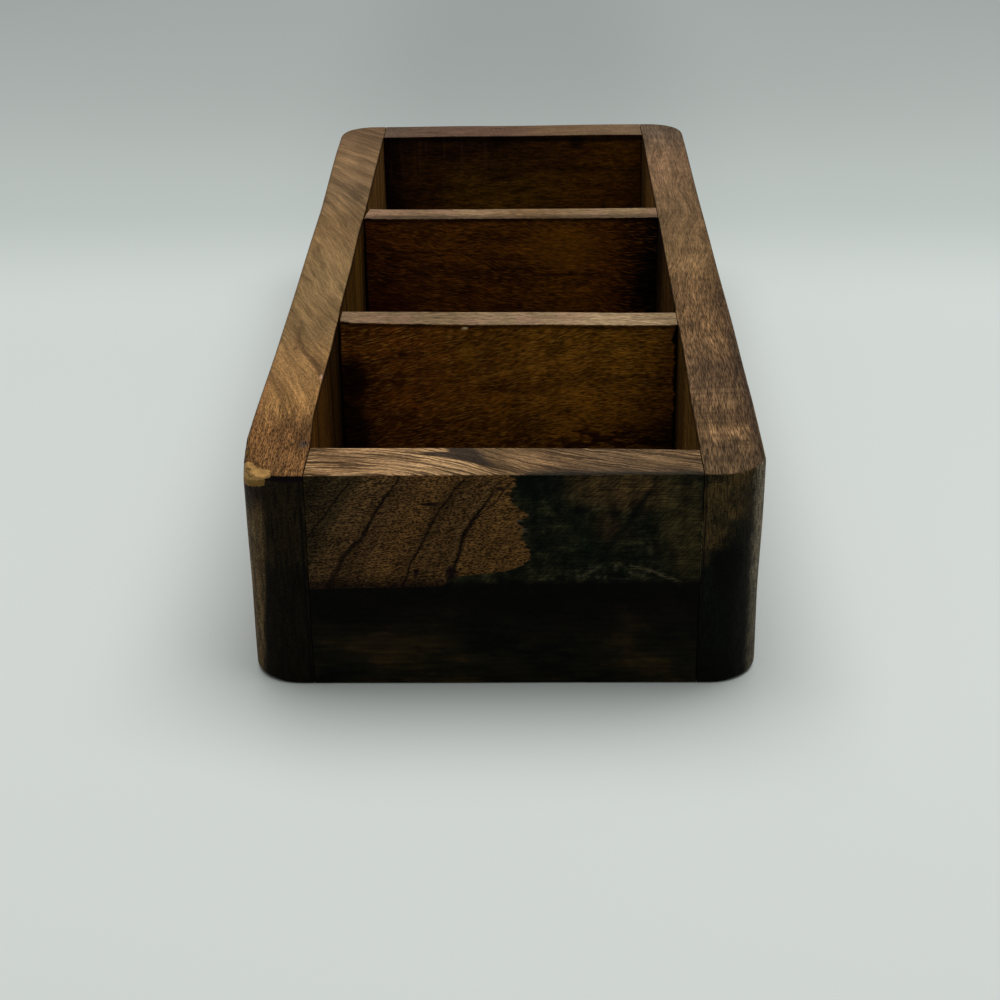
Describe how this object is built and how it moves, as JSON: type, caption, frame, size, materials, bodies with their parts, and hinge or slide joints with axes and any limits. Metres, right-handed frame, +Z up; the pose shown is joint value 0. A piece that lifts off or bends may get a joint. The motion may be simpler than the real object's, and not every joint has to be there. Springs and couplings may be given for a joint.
{
  "type": "compartment organizer box",
  "caption": "Long open box of solid wood with rounded corners and dividers that make compartments in a row.",
  "frame": {"origin": "centre of the underside", "axes": "+Y along the box from the front panel to the back panel, +X across it to the right, +Z up"},
  "size_m": [0.136, 0.33, 0.062],
  "materials": {
    "left_side_wood": "satin oiled, golden tan with brown figure",
    "right_side_wood": "satin oiled, medium brown with long pores",
    "front_panel_wood": "satin oiled, brown with a dark stained patch",
    "back_panel_wood": "satin oiled, dark brown",
    "divider_wood": "satin oiled, dark brown",
    "bottom_wood": "matt, dark brown",
    "dowel_wood": "bare, pale",
    "nail_steel": "plain steel"
  },
  "bodies": {
    "root": {"back_panel": "back_panel_wood", "back_panel_dowel_left_lower": "dowel_wood", "back_panel_dowel_left_upper": "dowel_wood", "back_panel_dowel_right_lower": "dowel_wood", "back_panel_dowel_right_upper": "dowel_wood", "bottom_panel": "bottom_wood", "front_divider": "divider_wood", "front_divider_dowel_left_lower": "dowel_wood", "front_divider_dowel_left_upper": "dowel_wood", "front_divider_dowel_right_lower": "dowel_wood", "front_divider_dowel_right_upper": "dowel_wood", "front_panel": "front_panel_wood", "front_panel_dowel_left_lower": "dowel_wood", "front_panel_dowel_left_upper": "dowel_wood", "front_panel_dowel_right_lower": "dowel_wood", "front_panel_dowel_right_upper": "dowel_wood", "left_side_board": "left_side_wood", "nail_back_left": "nail_steel", "nail_back_right": "nail_steel", "nail_front_divider": "nail_steel", "nail_front_left": "nail_steel", "nail_front_right": "nail_steel", "nail_left_front": "nail_steel", "nail_left_middle": "nail_steel", "nail_left_rear": "nail_steel", "nail_rear_divider": "nail_steel", "nail_right_front": "nail_steel", "nail_right_middle": "nail_steel", "nail_right_rear": "nail_steel", "rear_divider": "divider_wood", "rear_divider_dowel_left_lower": "dowel_wood", "rear_divider_dowel_left_upper": "dowel_wood", "rear_divider_dowel_right_lower": "dowel_wood", "rear_divider_dowel_right_upper": "dowel_wood", "right_side_board": "right_side_wood"}
  },
  "joints": []
}
